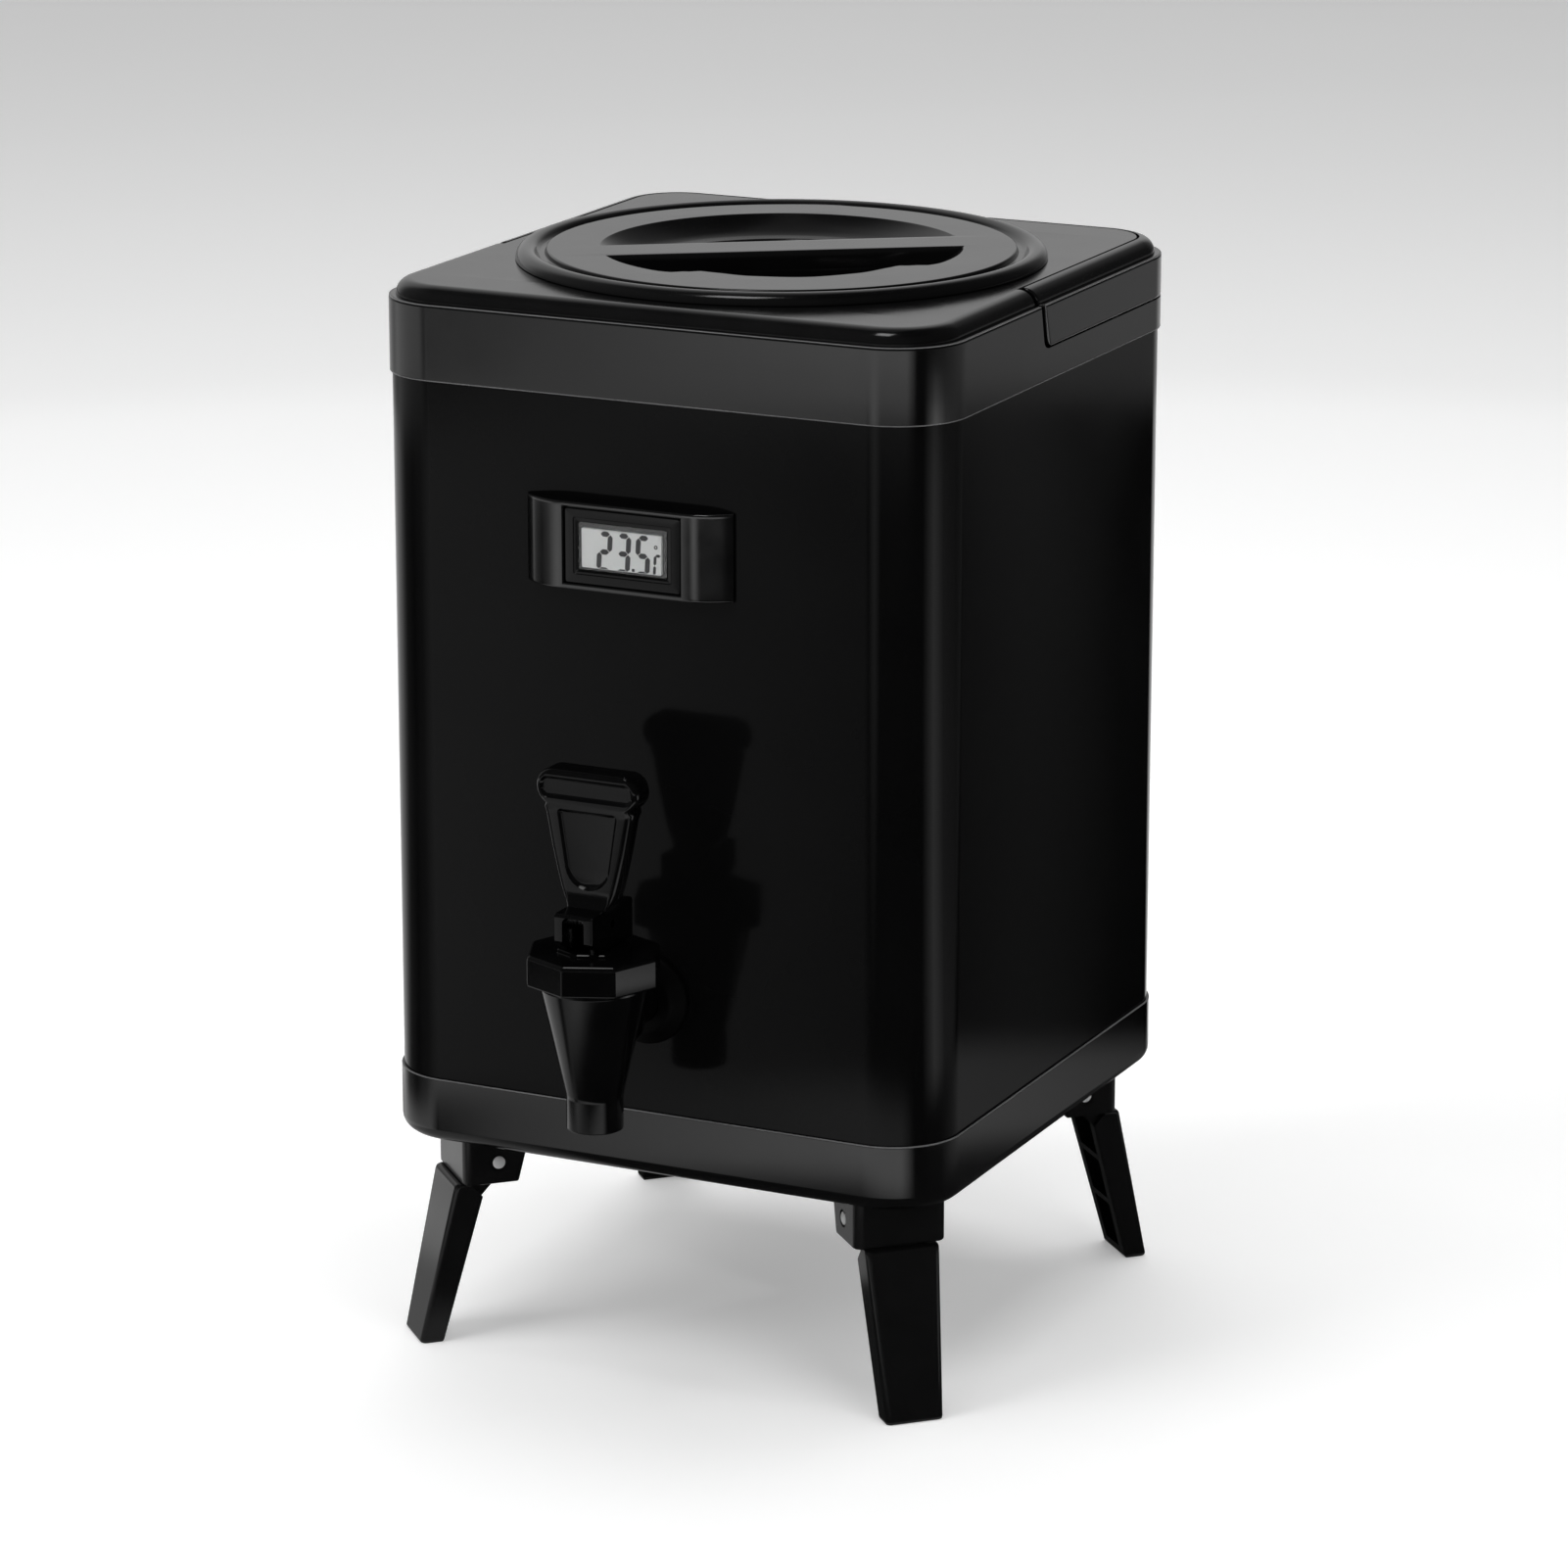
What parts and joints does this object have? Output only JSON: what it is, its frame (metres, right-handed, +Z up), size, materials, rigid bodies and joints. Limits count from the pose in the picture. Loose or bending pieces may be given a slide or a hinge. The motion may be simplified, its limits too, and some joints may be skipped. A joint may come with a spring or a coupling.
{
  "type": "insulated beverage dispenser",
  "caption": "Square insulated drink dispenser with a twist lid, fold-away carry handle, panel thermometer, lever tap and folding splayed legs.",
  "frame": {"origin": "middle of the part's box on the floor between the feet", "axes": "+Z up, the tap faces -Y, +X to the right seen from the front"},
  "size_m": [0.236, 0.3044, 0.4257],
  "materials": {
    "black_steel": "gloss",
    "black_satin": "satin",
    "black_gloss": "gloss",
    "leg_plastic": "satin",
    "inner_plastic": "matte",
    "steel": "satin",
    "rubber": "matte",
    "silicone": "matte",
    "foam": "matte",
    "display": "satin",
    "window": "gloss"
  },
  "bodies": {
    "body": {"outer_shell": "black_steel", "top_collar": "black_satin", "top_deck": "black_satin", "base_tray": "black_satin", "thermo_housing": "black_gloss", "thermo_module": "black_gloss", "tap_body": "black_gloss", "tap_bonnet": "black_gloss", "leg_bracket_front_left": "leg_plastic", "leg_bracket_front_right": "leg_plastic", "leg_bracket_rear_left": "leg_plastic", "leg_bracket_rear_right": "leg_plastic", "tap_nut": "inner_plastic", "inner_liner": "steel", "handle_pins": "steel", "thermo_cells": "steel", "thermo_probe": "steel", "tap_spring": "steel", "bracket_screws": "steel", "leg_pin_front_left": "steel", "leg_pin_front_right": "steel", "leg_pin_rear_left": "steel", "leg_pin_rear_right": "steel", "tap_flange": "rubber", "probe_lead": "rubber", "tap_washer": "silicone", "foam_insulation": "foam", "lcd_panel": "display", "lcd_window": "window"},
    "lid_seal": {"lid_gasket": "silicone"},
    "lid": {"lid_cap": "black_satin", "lid_plug": "inner_plastic", "lid_foam": "foam"},
    "handle": {"carry_handle": "black_satin"},
    "stem": {"tap_stem": "steel", "tap_seat": "silicone"},
    "lever": {"tap_lever": "black_gloss", "tap_lever_pin": "steel"},
    "leg_front_left": {"leg_front_left": "leg_plastic"},
    "leg_front_right": {"leg_front_right": "leg_plastic"},
    "leg_rear_left": {"leg_rear_left": "leg_plastic"},
    "leg_rear_right": {"leg_rear_right": "leg_plastic"}
  },
  "joints": [
    {"name": "lid_lift", "type": "slide", "parent": "body", "child": "lid_seal", "axis": [0, 0, 1], "range_m": [0, 0.06]},
    {"name": "lid_turn", "type": "hinge", "parent": "lid_seal", "child": "lid", "pos_m": [0, 0.03424, 0.421], "axis": [0, 0, 1], "range_deg": [0, 90]},
    {"name": "handle_swing", "type": "hinge", "parent": "body", "child": "handle", "pos_m": [0, 0.02224, 0.415], "axis": [1, 0, 0], "range_deg": [0, 90]},
    {"name": "stem_lift", "type": "slide", "parent": "body", "child": "stem", "axis": [0, 0, 1], "range_m": [0, 0.0042], "deforming": ["tap_spring"]},
    {"name": "lever_tilt", "type": "hinge", "parent": "stem", "child": "lever", "pos_m": [0, -0.12626, 0.1986], "axis": [1, 0, 0], "range_deg": [0, 30], "stiffness_Nm_per_rad": 0.3, "springref_deg": -17.19},
    {"name": "leg_fold_front_left", "type": "hinge", "parent": "body", "child": "leg_front_left", "pos_m": [-0.08696, -0.05272, 0.074], "axis": [0.7071, -0.7071, 0], "range_deg": [0, 100]},
    {"name": "leg_fold_front_right", "type": "hinge", "parent": "body", "child": "leg_front_right", "pos_m": [0.08696, -0.05272, 0.074], "axis": [0.7071, 0.7071, 0], "range_deg": [0, 100]},
    {"name": "leg_fold_rear_left", "type": "hinge", "parent": "body", "child": "leg_rear_left", "pos_m": [-0.08696, 0.1212, 0.074], "axis": [-0.7071, -0.7071, 0], "range_deg": [0, 100]},
    {"name": "leg_fold_rear_right", "type": "hinge", "parent": "body", "child": "leg_rear_right", "pos_m": [0.08696, 0.1212, 0.074], "axis": [-0.7071, 0.7071, 0], "range_deg": [0, 100]}
  ],
  "couplings": [
    {"joint": "stem_lift", "follows": "lever_tilt", "m_per_rad": 0.008}
  ]
}
